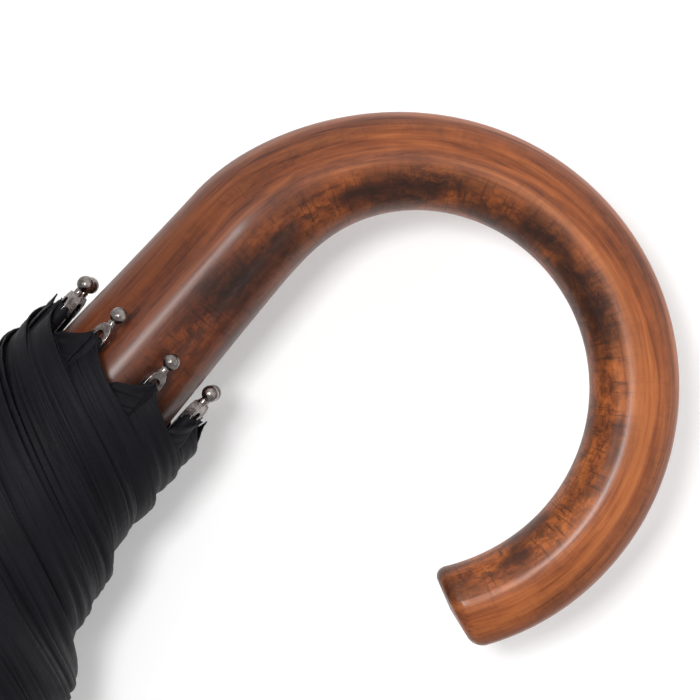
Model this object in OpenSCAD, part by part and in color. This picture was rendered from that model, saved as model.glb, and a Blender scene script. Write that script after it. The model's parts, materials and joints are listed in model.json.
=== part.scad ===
// Stick umbrella with a wooden crook handle, furled.
// +Z runs along the shaft from the handle to the ferrule. The origin is on the shaft's axis,
// where the straight grip turns into the crook. The crook bends towards +X.

/* [Handle] */
// Diameter of the handle at its top rim, beside the rib tips
handle_top_d = 31.5; // [29:0.5:32]
// Diameter of the handle where the crook begins
handle_neck_d = 28; // [24:0.5:30]
// Diameter of the slim end of the crook
crook_d = 19.6; // [16:0.2:22]
// Radius of the crook's centreline
crook_r = 50.2; // [46:0.2:60]
// Angle that the crook turns through
crook_turn = 214; // [180:1:220]
// Angle over which the neck loses half of its extra thickness
neck_taper_turn = 30; // [20:1:60]
// Slant of the crook's end face
nose_slant = 13; // [0:1:20]
// Length of the straight grip above the crook
grip_len = 44; // [38:1:44]

/* [Shaft] */
// Outside diameter of the steel shaft
shaft_d = 10; // [9:0.5:10]
// Wall thickness of the shaft
shaft_wall = 0.7; // [0.5:0.1:1]
// Height of the rib pivots above the origin
crown_z = 630; // [600:1:660]

/* [Ribs] */
// Distance from the crown pivot to the stretcher rivet
rib_link = 270; // [255:1:275]
// Width of a rib's channel
rib_w = 3.2; // [3:0.1:3.6]
// Depth of a rib's channel
rib_h = 3.4; // [3.2:0.1:3.8]
// Radius of the circle of pivots on the top notch and on the runner
pivot_ring_r = 8.5; // [8.5:0.1:9]
// Angle from the shaft to an inner rib when the umbrella is closed
closed_angle = 1.27; // [1.1:0.01:1.4]
// Angle from the shaft to an inner rib when the umbrella is open
open_angle = 78; // [70:1:80]
// Radius of the circle of ball tips when closed
tip_ring_r = 19.8; // [19.5:0.1:21]
// Height of the ball tips when closed
tip_z = 30; // [28:1:34]
// Diameter of a ball tip
ball_d = 3.8; // [3.4:0.1:4.2]

/* [Canopy] */
// Radius of the furled canopy at its hem
furl_hem_r = 25; // [24:0.5:28]
// Greatest radius of the furled canopy
furl_max_r = 36; // [30:1:38]
// Radius of the furled canopy just below the cap
furl_top_r = 14; // [13.5:0.5:18]
// Width of the tie strap
strap_w = 18; // [12:1:24]

/* [Ferrule] */
// Length of the ferrule above the cap
ferrule_len = 92; // [60:1:120]
// Diameter of the ferrule's cylindrical end
ferrule_d = 8; // [6:0.5:9]

/* [Hidden] */
SECTORS = [1 : 8];
sector_turn = 45;
first_rib_turn = 22.5;
fit_gap = 0.05;
run_gap = 0.15;
side_gap = 0.3;
eps = 0.01;
$fn = 48;

function rib_turn(i) = first_rib_turn + sector_turn * (i - 1);
function numbered(name) = [for (i = SECTORS) str(name, "_", i)];

// Closed linkage: the two links are equal, so the runner pivot lies below the crown pivot.
elbow_r = pivot_ring_r + rib_link * sin(closed_angle);
elbow_z = crown_z - rib_link * cos(closed_angle);
runner_z = crown_z - 2 * rib_link * cos(closed_angle);
runner_travel = 2 * rib_link * (cos(closed_angle) - cos(open_angle));

// Rib details
rib_wall = 0.6;
pivot_inset = 0.4;
web_x = -rib_h / 2 - pivot_inset;
lip_x = rib_h / 2 - pivot_inset;
tongue_t = 1.6;
eyelet_r = 1.3;
wire_r = 0.6;
wire_hole_r = 0.85;
channel_start = 12;
tongue_overlap = 2;
flex_at = rib_link + 10;
flex_gap = 0.8;
flex_r = pivot_ring_r + flex_at * sin(closed_angle);
flex_z = crown_z - flex_at * cos(closed_angle);
outer_angle = atan((tip_ring_r - flex_r) / (flex_z - tip_z));
outer_len = norm([tip_ring_r - flex_r, flex_z - tip_z]);

// Tip details, measured up the rib from the ball's centre
neck_r = 0.95;
claw_start = 3.5;
claw_slot_start = 4.7;
claw_end = 8.2;
claw_w = 3.9;
claw_h = 2.6;
claw_slot_w = 2;

// Stretcher details
stretcher_t = 1.4;
stretcher_h = 2.2;
stretcher_eye_r = 1.35;
rivet_r = 0.6;
rivet_head_r = 1.1;
rivet_head_t = 0.4;

// Top notch and runner details
notch_r = 11;
notch_half_h = 4;
hub_r = 6.85;
slot_w = 2.4;
head_r = 10.5;
head_half_h = 4.5;
runner_tube_r = 6.4;
runner_tube_len = 45;
runner_rim_r = 7.6;
runner_rim_h = 5;
runner_slit_w = 1.6;
runner_slit_reach = 7.7;

// Catch details: a thin steel leaf in the shaft with a nose that stands out of it
catch_t = 0.8;
catch_nose_x = 7.2;
catch_nose_flat = 1.5;
catch_ramp_len = 9;
catch_back_x = 0.8;
catch_front_x = 2.1;
catch_foot_len = 2;
catch_reach = 24;
closing_catch_z = 44;
opening_catch_z = runner_z + runner_travel - runner_tube_len - catch_reach - 0.6;

// Canopy details
lobe_in_r = 11.4;
grip_clear_r = handle_top_d / 2 + 0.6;
lobe_gap = 4.6;
lobe_bottom_z = tip_z + 8.5;
lobe_top_z = crown_z - 12;
lobe_split_z = flex_z;
bulge_low_z = tip_z + 50;
bulge_high_z = tip_z + 80;
cap_z = crown_z + 8;
cap_r = 13;
cap_h = 5;
strap_z = 152;
strap_t = 1;
strap_gap = 0.4;

// ---- placing ------------------------------------------------------------------------------

// Puts a link drawn along +Z, with +X towards the shaft, at a pivot in rib i's plane.
module in_rib_plane(i, r, z, angle)
    rotate([0, 0, rib_turn(i)])
        translate([r, 0, z])
            rotate([0, 180 - angle, 0])
                children();

// A round hole or pin across the link's width
module cross_pin(r, len)
    rotate([90, 0, 0])
        cylinder(r = r, h = len, center = true);

// A block between two heights along the link
module bar(x0, x1, width, z0, z1)
    translate([x0, -width / 2, z0])
        cube([x1 - x0, width, z1 - z0]);

// A folded steel channel, open towards +X
module channel(z0, z1)
    difference() {
        bar(web_x, lip_x, rib_w, z0, z1);
        bar(web_x + rib_wall, lip_x + 1, rib_w - 2 * rib_wall, z0 - 1, z1 + 1);
    }

module wire_ring(r)
    rotate_extrude()
        translate([pivot_ring_r, 0])
            circle(r = r, $fn = 24);

// Straight slots across a hub's rim, one in each rib's plane
module rib_slots(height)
    for (i = SECTORS)
        rotate([0, 0, rib_turn(i)])
            translate([hub_r, -slot_w / 2, -height / 2])
                cube([notch_r, slot_w, height]);

// ---- handle -------------------------------------------------------------------------------

handle_sides = 24;
crook_steps = 26;
rim_round = 1.5;
nose_round = 3;
nose_steps = 4;
slant_from = 0.9;

function crook_radius(turn) =
    (crook_d + (handle_neck_d - crook_d) / (1 + pow(turn / neck_taper_turn, 2))) / 2;
function grip_radius(z) =
    (handle_neck_d + (handle_top_d - handle_neck_d) * pow(max(z, 0) / grip_len, 0.7)) / 2;
function crook_point(turn) = [crook_r * (1 - cos(turn)), 0, -crook_r * sin(turn)];
function slant_at(turn) =
    nose_slant * max(0, (turn / crook_turn - slant_from) / (1 - slant_from));

// One ring of the handle's surface: a centre, the turn of the crook there, a slant and a radius
function handle_ring(centre, turn, slant, r) =
    let (out = [-cos(turn), 0, -sin(turn)], ahead = [sin(turn), 0, -cos(turn)])
    [for (k = [0 : handle_sides - 1])
        let (a = 360 * k / handle_sides)
        centre + r * cos(a) * (out * cos(slant) - ahead * sin(slant)) + [0, r * sin(a), 0]];

grip_rings = [
    for (z = [grip_len : -grip_len / 4 : eps])
        let (rim = (z == grip_len) ? rim_round : 0)
        handle_ring([0, 0, z], 0, 0, grip_radius(z) - rim)
];
rim_ring = [handle_ring([0, 0, grip_len - rim_round], 0, 0, grip_radius(grip_len))];
crook_rings = [
    for (k = [0 : crook_steps])
        let (turn = crook_turn * k / crook_steps)
        handle_ring(crook_point(turn), turn, slant_at(turn), crook_radius(turn))
];
nose_rings = [
    for (k = [1 : nose_steps])
        let (
            a = 90 * k / nose_steps,
            ahead = [sin(crook_turn), 0, -cos(crook_turn)],
            r = crook_radius(crook_turn) - nose_round * (1 - cos(a))
        )
        handle_ring(crook_point(crook_turn) + ahead * nose_round * sin(a), crook_turn, nose_slant, r)
];
grip_tail = [for (k = [1 : len(grip_rings) - 1]) grip_rings[k]];
handle_rings = concat([grip_rings[0]], rim_ring, grip_tail, crook_rings, nose_rings);

module crook_handle()
    color("sienna")
    difference() {
        loft(handle_rings);
        translate([0, 0, shaft_foot_z - 1])
            cylinder(d = shaft_d + 2 * fit_gap, h = grip_len);
    }

shaft_foot_z = 2;

// Skins a list of rings that have the same number of points, and closes both ends.
module loft(rings) {
    n = len(rings[0]);
    last = len(rings) - 1;
    polyhedron(
        points = [for (ring = rings) each ring],
        faces = concat(
            [[for (k = [n - 1 : -1 : 0]) k]],
            [[for (k = [0 : n - 1]) last * n + k]],
            [for (j = [0 : last - 1]) for (k = [0 : n - 1])
                [j * n + k, j * n + (k + 1) % n, (j + 1) * n + (k + 1) % n]],
            [for (j = [0 : last - 1]) for (k = [0 : n - 1])
                [j * n + k, (j + 1) * n + (k + 1) % n, (j + 1) * n + k]]
        )
    );
}

// ---- shaft, notch, ferrule ------------------------------------------------------------------

shaft_in_ferrule = 30;
shaft_top_z = cap_z + cap_h + shaft_in_ferrule;
catch_window_h = 14;
catch_window_drop = 12;

module shaft()
    color("dimgray")
    difference() {
        translate([0, 0, shaft_foot_z])
            cylinder(d = shaft_d, h = shaft_top_z - shaft_foot_z);
        translate([0, 0, shaft_foot_z - 1])
            cylinder(d = shaft_d - 2 * shaft_wall, h = shaft_top_z);
        for (z = [closing_catch_z, opening_catch_z])
            translate([0, -runner_slit_w / 2, z + catch_reach - catch_window_drop])
                cube([shaft_d, runner_slit_w, catch_window_h]);
    }

module top_notch()
    color("black")
    translate([0, 0, crown_z])
        difference() {
            union() {
                cylinder(r = notch_r, h = 2 * notch_half_h, center = true);
                cylinder(r = hub_r, h = cap_z - crown_z - side_gap);
            }
            cylinder(d = shaft_d + 2 * fit_gap, h = 4 * notch_half_h, center = true);
            rib_slots(2 * notch_half_h + 1);
            wire_ring(wire_r + fit_gap);
        }

module notch_wire()
    color("silver")
    translate([0, 0, crown_z])
        wire_ring(wire_r);

module canopy_cap()
    color("dimgray")
    translate([0, 0, cap_z])
        difference() {
            rotate_extrude()
                polygon([
                    [0, 0], [cap_r, 0], [cap_r, 1], [cap_r * 0.9, cap_h * 0.5],
                    [cap_r * 0.65, cap_h * 0.9], [cap_r * 0.55, cap_h], [0, cap_h]
                ]);
            translate([0, 0, -1])
                cylinder(d = shaft_d + 2 * fit_gap, h = cap_h + 2);
        }

ferrule_z = cap_z + cap_h + side_gap;
ferrule_base_r = 6.6;
ferrule_collar_h = 4;
ferrule_step = 0.5;
ferrule_chamfer = 1.5;
ferrule_end_len = 22;
ferrule_waist_len = ferrule_len - ferrule_end_len;

module ferrule()
    color("black")
    translate([0, 0, ferrule_z])
        difference() {
            rotate_extrude()
                polygon([
                    [0, 0], [ferrule_base_r, 0], [ferrule_base_r, ferrule_collar_h],
                    [ferrule_base_r - ferrule_step, ferrule_collar_h + 1],
                    [ferrule_d / 2, ferrule_waist_len],
                    [ferrule_d / 2, ferrule_len - ferrule_chamfer],
                    [ferrule_d / 2 - ferrule_chamfer, ferrule_len], [0, ferrule_len]
                ]);
            translate([0, 0, -1])
                cylinder(d = shaft_d + 2 * fit_gap, h = shaft_top_z - ferrule_z + 1.3);
        }

// ---- runner ---------------------------------------------------------------------------------

module runner()
    color("black")
    translate([0, 0, runner_z])
        difference() {
            union() {
                cylinder(r = head_r, h = 2 * head_half_h, center = true);
                translate([0, 0, -runner_tube_len])
                    cylinder(r = runner_tube_r, h = runner_tube_len);
                translate([0, 0, -runner_tube_len])
                    cylinder(r = runner_rim_r, h = runner_rim_h);
            }
            translate([0, 0, -runner_tube_len - 1])
                cylinder(d = shaft_d + 2 * run_gap, h = runner_tube_len + 2 * head_half_h);
            rib_slots(2 * head_half_h + 1);
            wire_ring(wire_r + fit_gap);
            translate([0, -runner_slit_w / 2, -runner_tube_len - 1])
                cube([runner_slit_reach, runner_slit_w, runner_tube_len + 2 * head_half_h]);
        }

module runner_wire()
    color("silver")
    translate([0, 0, runner_z])
        wire_ring(wire_r);

module catch_leaf(z)
    translate([0, catch_t / 2, z])
        rotate([90, 0, 0])
            linear_extrude(catch_t)
                polygon([
                    [catch_back_x, -catch_foot_len], [catch_front_x, -catch_foot_len],
                    [catch_front_x, catch_reach - catch_ramp_len - 1],
                    [catch_front_x + 0.8, catch_reach - catch_ramp_len],
                    [catch_nose_x, catch_reach - catch_nose_flat], [catch_nose_x, catch_reach],
                    [catch_back_x, catch_reach]
                ]);

module closing_catch()
    color("silver")
    catch_leaf(closing_catch_z);

module opening_catch()
    color("silver")
    catch_leaf(opening_catch_z);

// ---- ribs -----------------------------------------------------------------------------------

module rib_inner(i)
    color("gray")
    in_rib_plane(i, pivot_ring_r, crown_z, closed_angle)
        difference() {
            union() {
                cross_pin(eyelet_r, tongue_t);
                bar(-eyelet_r, eyelet_r, tongue_t, 0, channel_start + tongue_overlap);
                bar(web_x, lip_x, tongue_t, channel_start - 4, channel_start + tongue_overlap);
                channel(channel_start, flex_at - flex_gap);
            }
            cross_pin(wire_hole_r, rib_w);
            translate([0, 0, rib_link])
                cross_pin(rivet_r + run_gap, 2 * rib_w);
        }

module rib_outer(i)
    color("gray")
    in_rib_plane(i, flex_r, flex_z, outer_angle) {
        channel(flex_gap, outer_len - claw_end - 0.8);
        bar(web_x, web_x + claw_h, tongue_t, outer_len - claw_end - 3, outer_len - claw_end - 0.8);
        bar(-1, 1, tongue_t, outer_len - claw_end - 3, outer_len - claw_slot_start - side_gap);
    }

module rib_tip(i)
    color("dimgray")
    in_rib_plane(i, flex_r, flex_z, outer_angle)
        translate([0, 0, outer_len])
            rotate([180, 0, 0]) {
                sphere(d = ball_d, $fn = 24);
                cylinder(r = neck_r, h = claw_start + eps);
                difference() {
                    bar(-claw_h / 2, claw_h / 2, claw_w, claw_start, claw_end);
                    bar(-claw_h, claw_h, claw_slot_w, claw_slot_start, claw_end + 1);
                }
            }

module stretcher(i)
    color("darkgray")
    in_rib_plane(i, elbow_r, elbow_z, -closed_angle) {
        difference() {
            union() {
                bar(-stretcher_h / 2, stretcher_h / 2, stretcher_t, 0, rib_link);
                cross_pin(stretcher_h / 2, stretcher_t);
                translate([0, 0, rib_link])
                    cross_pin(stretcher_eye_r, stretcher_t);
            }
            cross_pin(rivet_r + fit_gap, rib_w);
            translate([0, 0, rib_link])
                cross_pin(wire_hole_r, rib_w);
        }
        elbow_rivet();
    }

// The rivet that joins a stretcher to its rib, with a head outside each side of the channel
module elbow_rivet() {
    head_y = rib_w / 2 + fit_gap * 2;
    cross_pin(rivet_r, 2 * head_y);
    for (side = [-1, 1])
        translate([0, side * (head_y + rivet_head_t / 2), 0])
            cross_pin(rivet_head_r, rivet_head_t + eps);
}

// ---- canopy ---------------------------------------------------------------------------------

// Radius of the furled canopy above its bulge, a straight taper to the cap
function furl_radius(z) =
    furl_max_r + (furl_top_r - furl_max_r) * (z - bulge_high_z) / (lobe_top_z - bulge_high_z);

upper_outline = [
    [lobe_in_r, lobe_split_z + side_gap], [furl_radius(lobe_split_z), lobe_split_z + side_gap],
    [furl_top_r, lobe_top_z], [lobe_in_r, lobe_top_z]
];
lower_outline = [
    [grip_clear_r, lobe_bottom_z], [furl_hem_r, lobe_bottom_z],
    [(furl_hem_r + furl_max_r) / 2, bulge_low_z], [furl_max_r, bulge_high_z],
    [furl_radius(lobe_split_z), lobe_split_z - side_gap], [lobe_in_r, lobe_split_z - side_gap],
    [lobe_in_r, grip_len + 2 * side_gap], [grip_clear_r, grip_len + side_gap]
];

// The folded cloth of gore i, which fills the space between rib i and the next one
module lobe(i, outline)
    rotate([0, 0, rib_turn(i)])
        difference() {
            rotate_extrude(angle = sector_turn)
                polygon(outline);
            for (turn = [0, sector_turn])
                rotate([0, 0, turn])
                    translate([0, -lobe_gap / 2, 0])
                        cube([2 * furl_max_r, lobe_gap, crown_z]);
        }

module canopy_upper(i)
    color("black")
    lobe(i, upper_outline);

module canopy_lower(i)
    color("black")
    lobe(i, lower_outline);

strap_in_r = furl_radius(strap_z - strap_w / 2) + strap_gap;

module tie_strap()
    color("black")
    translate([0, 0, strap_z - strap_w / 2])
        difference() {
            cylinder(r = strap_in_r + strap_t, h = strap_w);
            translate([0, 0, -1])
                cylinder(r = strap_in_r, h = strap_w + 2);
        }

snap_r = 5;
snap_h = 1.6;

module tie_snap()
    color("dimgray")
    rotate([0, 0, first_rib_turn + 2 * sector_turn])
        translate([strap_in_r + strap_t + side_gap, 0, strap_z])
            rotate([0, 90, 0])
                cylinder(r1 = snap_r, r2 = snap_r * 0.8, h = snap_h);

// ---- drawing --------------------------------------------------------------------------------

crook_handle();
shaft();
top_notch();
notch_wire();
canopy_cap();
ferrule();
runner();
runner_wire();
closing_catch();
opening_catch();
tie_strap();
tie_snap();
for (i = SECTORS) {
    rib_inner(i);
    rib_outer(i);
    rib_tip(i);
    stretcher(i);
    canopy_upper(i);
    canopy_lower(i);
}
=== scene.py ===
"""Looks of the stick umbrella: varnished crook, gunmetal tips, furled and open cloth, steel ribs.

+Z runs along the shaft from the handle to the ferrule, and the crook bends towards +X. The umbrella
rests furled. Every place comes from the CAD frame's joints and boxes; other sizes are named below.
"""

import json
import math

import bmesh
import bpy
import numpy as np
from mathutils import Matrix, Vector


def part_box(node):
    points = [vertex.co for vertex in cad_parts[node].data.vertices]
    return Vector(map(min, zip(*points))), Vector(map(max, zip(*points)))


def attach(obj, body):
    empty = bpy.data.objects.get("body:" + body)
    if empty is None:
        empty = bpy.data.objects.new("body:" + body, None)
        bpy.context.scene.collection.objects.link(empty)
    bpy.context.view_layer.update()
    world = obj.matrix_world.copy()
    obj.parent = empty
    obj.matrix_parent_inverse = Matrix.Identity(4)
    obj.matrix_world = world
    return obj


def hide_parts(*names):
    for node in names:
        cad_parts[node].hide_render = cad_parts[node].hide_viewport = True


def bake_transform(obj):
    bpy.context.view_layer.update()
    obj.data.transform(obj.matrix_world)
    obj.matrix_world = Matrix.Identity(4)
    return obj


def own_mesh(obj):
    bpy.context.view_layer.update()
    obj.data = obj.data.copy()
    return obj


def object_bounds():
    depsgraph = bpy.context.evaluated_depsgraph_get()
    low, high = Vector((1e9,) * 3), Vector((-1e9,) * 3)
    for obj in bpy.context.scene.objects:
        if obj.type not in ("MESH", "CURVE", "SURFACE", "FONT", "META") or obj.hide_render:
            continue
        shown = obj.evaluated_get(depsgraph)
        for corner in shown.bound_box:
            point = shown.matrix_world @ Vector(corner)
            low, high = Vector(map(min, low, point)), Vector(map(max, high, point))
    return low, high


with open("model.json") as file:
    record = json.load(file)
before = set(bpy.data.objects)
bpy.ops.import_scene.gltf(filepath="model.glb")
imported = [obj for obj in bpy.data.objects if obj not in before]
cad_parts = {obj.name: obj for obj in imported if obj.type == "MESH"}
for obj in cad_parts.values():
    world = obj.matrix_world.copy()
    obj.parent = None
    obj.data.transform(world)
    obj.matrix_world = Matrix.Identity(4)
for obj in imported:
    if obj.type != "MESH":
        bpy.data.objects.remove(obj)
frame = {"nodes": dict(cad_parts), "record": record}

CAD_BOX = [list(corner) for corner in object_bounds()]
MM = 0.001
JOINTS = {j["name"]: j for j in frame["record"]["behaviour"]["joints"]}
MOUNTS = {m["name"]: m for m in frame["record"]["mounts"]}
RIBS = range(1, 9)
SECTOR = 2 * math.pi / len(RIBS)


# ---- places from the frame ---------------------------------------------------------------------

def joint_place(name):
    """A joint's azimuth, radius and height."""
    x, y, z = JOINTS[name]["pos_m"]
    return math.atan2(y, x), math.hypot(x, y), z


def azimuth(i):
    """The azimuth of rib i, which also runs on past the last rib."""
    return joint_place("rib_hinge_1")[0] + SECTOR * (i - 1)


def span(name):
    """How far a joint moves, in metres or radians."""
    j = JOINTS[name]
    return j["range_m"][1] if j["type"] == "slide" else math.radians(j["range_deg"][1])


def coupled_travel(name):
    """How far a joint goes when the runner goes to its limit."""
    couplings = frame["record"]["behaviour"]["couplings"]
    return next(c["ratio"] for c in couplings if c["joint"] == name) * span("runner_slide")


_, PIVOT_R, CROWN_Z = joint_place("rib_hinge_1")
_, FLEX_R, FLEX_Z = joint_place("rib_flex_1")
RIB_SWING = coupled_travel("rib_hinge_1")
RIB_FLEX = coupled_travel("rib_flex_1")
BALL_R = 1.9 * MM
TIP_R = 19.8 * MM
TIP_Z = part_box("rib_tip_1")[0][2] + BALL_R
GRIP_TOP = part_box("crook_handle")[1][2]
CROOK_R = MOUNTS["crook_inside"]["pos_m"][0]
FLEX_AT = math.hypot(FLEX_R - PIVOT_R, CROWN_Z - FLEX_Z)
OUTER_LEN = math.hypot(TIP_R - FLEX_R, FLEX_Z - TIP_Z)
INNER_ANGLE = math.atan2(FLEX_R - PIVOT_R, CROWN_Z - FLEX_Z)
OUTER_ANGLE = math.atan2(TIP_R - FLEX_R, FLEX_Z - TIP_Z)
BEND_REACH = 100 * MM  # of the open rib's bend, on each side of the flex hinge


def along(angle):
    """The direction, in a rib's plane, of a link that stands at an angle from the shaft."""
    return np.array([math.sin(angle), -math.cos(angle)])


def outward(angle):
    """The normal of that link on its canopy side."""
    return np.array([math.cos(angle), math.sin(angle)])


def steps(low, high, count):
    """Even steps from low to high, as plain floats."""
    return np.linspace(low, high, count).tolist()


def smooth(t):
    """A soft step from 0 at t = 0 to 1 at t = 1."""
    t = np.clip(t, 0, 1)
    return t * t * (3 - 2 * t)


def rib_place(s, lift, opened):
    """Radius and height of a point s along a rib from its pivot and lift above its axis."""
    swing, flex = (RIB_SWING, RIB_FLEX) if opened else (0.0, 0.0)
    past = s - FLEX_AT
    bent = flex * float(smooth(past / BEND_REACH / 2 + 0.5))
    angle = (INNER_ANGLE if past < 0 else OUTER_ANGLE) + swing - bent
    hinge = np.array([PIVOT_R, CROWN_Z]) + FLEX_AT * along(INNER_ANGLE + swing)
    return hinge + past * along(angle) + lift * outward(angle)


def polar(r, turn, z):
    """A point from its radius, its azimuth and its height."""
    return Vector((r * math.cos(turn), r * math.sin(turn), z))


def radial_axis(i):
    """The horizontal direction from the shaft to rib i."""
    return polar(1, azimuth(i), 0)


def side_axis(i):
    """The horizontal direction across rib i, towards the next rib."""
    return polar(1, azimuth(i) + math.pi / 2, 0)


def closed_rib_point(i, s, lift, sideways=0.0):
    """A point on or beside rib i of the closed umbrella."""
    r, z = rib_place(s, lift, False)
    return polar(r, azimuth(i), z) + side_axis(i) * sideways



# ---- node materials ----------------------------------------------------------------------------

class Nodes:
    """A short way to write a material's node tree."""

    def __init__(self, name):
        self.material = bpy.data.materials.new(name)
        self.material.use_nodes = True
        self.tree = self.material.node_tree
        self.shader = self.tree.nodes["Principled BSDF"]
        self.output = self.tree.nodes["Material Output"]

    def set(self, **values):
        """Sets the shader's own sockets: spaces in their names are written as underscores."""
        for key, value in values.items():
            self.shader.inputs[key.replace("_", " ")].default_value = value
        return self

    def link(self, source, target):
        self.tree.links.new(source, target)

    def add(self, kind, inputs=None, **properties):
        node = self.tree.nodes.new(kind)
        for key, value in properties.items():
            setattr(node, key, value)
        for key, value in (inputs or {}).items():
            if isinstance(value, bpy.types.NodeSocket):
                self.tree.links.new(value, node.inputs[key])
            else:
                node.inputs[key].default_value = value
        return node

    def place(self):
        """Where a point lies on the object, in metres."""
        return self.add("ShaderNodeTexCoord").outputs["Object"]

    def attribute(self, name):
        return self.add("ShaderNodeAttribute", attribute_name=name).outputs["Vector"]

    def scaled(self, vector, scale, offset=(0, 0, 0)):
        node = self.add("ShaderNodeMapping", {"Vector": vector, "Scale": scale, "Location": offset})
        return node.outputs["Vector"]

    def noise(self, vector, scale=1.0, detail=4.0, rough=0.5, warp=0.0):
        inputs = {"Vector": vector, "Scale": scale, "Detail": detail, "Roughness": rough,
                  "Distortion": warp}
        return self.add("ShaderNodeTexNoise", inputs).outputs["Fac"]

    def math(self, operation, a, b=0.0, clamp=False):
        node = self.add("ShaderNodeMath", {0: a, 1: b}, operation=operation, use_clamp=clamp)
        return node.outputs[0]

    def ramp(self, fac, stops):
        """Colours or greys at places from 0 to 1."""
        node = self.add("ShaderNodeValToRGB", {"Fac": fac})
        elements = node.color_ramp.elements
        while len(elements) < len(stops):
            elements.new(0.5)
        for element, (at, colour) in zip(elements, stops):
            element.position = at
            grey = isinstance(colour, (int, float))
            element.color = (colour, colour, colour, 1) if grey else (*colour, 1)
        return node.outputs["Color"]

    def mix(self, fac, a, b, blend="MIX"):
        node = self.add("ShaderNodeMix", {0: fac}, data_type="RGBA", blend_type=blend)
        for socket, value in ((node.inputs[6], a), (node.inputs[7], b)):
            if isinstance(value, bpy.types.NodeSocket):
                self.tree.links.new(value, socket)
            else:
                socket.default_value = (*value, 1)
        return node.outputs[2]

    def split(self, vector):
        return self.add("ShaderNodeSeparateXYZ", {"Vector": vector}).outputs

    def bump(self, height, strength=0.3, distance=MM, normal=None):
        inputs = {"Height": height, "Strength": strength, "Distance": distance}
        if normal is not None:
            inputs["Normal"] = normal
        return self.add("ShaderNodeBump", inputs).outputs["Normal"]

    def see_through(self, hidden):
        """Makes the surface clear where hidden is 1."""
        clear = self.add("ShaderNodeBsdfTransparent").outputs[0]
        mix = self.add("ShaderNodeMixShader", {0: hidden, 1: self.shader.outputs[0], 2: clear})
        self.link(mix.outputs[0], self.output.inputs["Surface"])
        return self.material

    def finish(self, colour=None, roughness=None, normal=None):
        for socket, value in (("Base Color", colour), ("Roughness", roughness), ("Normal", normal)):
            if value is not None:
                self.link(value, self.shader.inputs[socket])
        return self.material


def wood():
    """Stained maple under varnish: warm and even outside, dark and mottled with cross figure
    inside. GRAIN holds the place in the unbent stick: towards the crook's outside, sideways, and
    along."""
    n = Nodes("varnished_wood").set(Coat_Weight=0.22, Coat_Roughness=0.22, Coat_IOR=1.5,
                                    Specular_IOR_Level=0.20)
    grain = n.attribute("GRAIN")
    across = n.math("MULTIPLY_ADD", n.split(grain)["X"], 40.0)
    across.node.inputs[2].default_value = 0.5
    fibres = n.noise(n.scaled(grain, (620, 620, 26)), detail=6, rough=0.7, warp=0.5)
    broad = n.noise(n.scaled(grain, (120, 120, 16), (3, 1, 7)), detail=4, rough=0.6, warp=0.8)
    mottle = n.noise(n.scaled(grain, (400, 400, 250), (11, 4, 2)), detail=8, rough=0.78, warp=0.3)
    patches = n.noise(n.scaled(grain, (75, 75, 48), (5, 9, 1)), detail=4, rough=0.55)
    cross = n.noise(n.scaled(grain, (120, 120, 880), (1, 8, 3)), detail=4, rough=0.65, warp=0.3)
    band = n.ramp(across, [(0.02, 0.50), (0.12, 0.78), (0.26, 1.0), (0.37, 0.72), (0.47, 0.22),
                           (0.62, 0.05), (0.74, 0.24), (0.80, 0.30), (0.88, 0.06), (1.0, 0.14)])
    tone = n.math("ADD", n.math("MULTIPLY", fibres, 0.5), n.math("MULTIPLY", broad, 0.5))
    warm = n.ramp(tone, [(0.36, (0.110, 0.026, 0.007)), (0.46, (0.250, 0.064, 0.017)),
                         (0.56, (0.395, 0.116, 0.031)), (0.70, (0.50, 0.168, 0.050))])
    inner = n.ramp(mottle, [(0.38, (0.022, 0.006, 0.003)), (0.46, (0.095, 0.022, 0.006)),
                            (0.53, (0.27, 0.066, 0.013)), (0.62, (0.45, 0.130, 0.027))])
    depth = n.math("ADD", n.math("MULTIPLY", patches, 1.5), -0.12)
    depth = n.math("ADD", depth, n.math("MULTIPLY", broad, 0.45))
    shade = n.math("MULTIPLY", band, depth, clamp=True)
    colour = n.mix(shade, warm, inner)
    dark = n.ramp(n.math("ADD", patches, n.math("MULTIPLY", mottle, 0.55)),
                  [(0.74, 0.0), (0.84, 0.9)])
    colour = n.mix(n.math("MULTIPLY", dark, band), colour, (0.022, 0.008, 0.005))
    flecks = n.ramp(cross, [(0.36, 1.0), (0.46, 0.0)])
    colour = n.mix(n.math("MULTIPLY", flecks, n.math("MULTIPLY", band, 0.75)), colour,
                   (0.040, 0.013, 0.006))
    pores = n.ramp(fibres, [(0.28, 0.62), (0.42, 1.0)])
    colour = n.mix(1.0, colour, pores, "MULTIPLY")
    grip = n.ramp(n.math("MULTIPLY", n.split(grain)["Z"], 1 / GRIP_SHADE),
                  [(0.25, (0.38, 0.31, 0.28)), (1.0, (1.0, 1.0, 1.0))])
    colour = n.mix(1.0, colour, grip, "MULTIPLY")
    rough = n.ramp(fibres, [(0.3, 0.54), (0.7, 0.42)])
    return n.finish(colour, rough, n.bump(fibres, 0.10, 0.2 * MM))


def metal(name, light, dark, rough):
    """Plated steel with small dents and a cloudy film."""
    n = Nodes(name).set(Metallic=1.0)
    place = n.place()
    cloud = n.noise(place, 700, 5, 0.6)
    fine = n.noise(place, 3500, 3, 0.6)
    colour = n.ramp(cloud, [(0.35, dark), (0.62, light)])
    roughness = n.ramp(fine, [(0.35, rough[0]), (0.65, rough[1])])
    return n.finish(colour, roughness, n.bump(cloud, 0.15, 0.2 * MM))


def plastic(name, base, rough):
    """Moulded black plastic or enamel with a faint grain."""
    n = Nodes(name)
    place = n.place()
    grain = n.noise(place, 1800, 3, 0.6)
    wear = n.noise(place, 90, 4, 0.6)
    light = tuple(c * 1.8 + 0.01 for c in base)
    colour = n.ramp(wear, [(0.4, base), (0.7, light)])
    roughness = n.ramp(wear, [(0.35, rough[0]), (0.7, rough[1])])
    return n.finish(colour, roughness, n.bump(grain, 0.04, 0.1 * MM))


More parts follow.
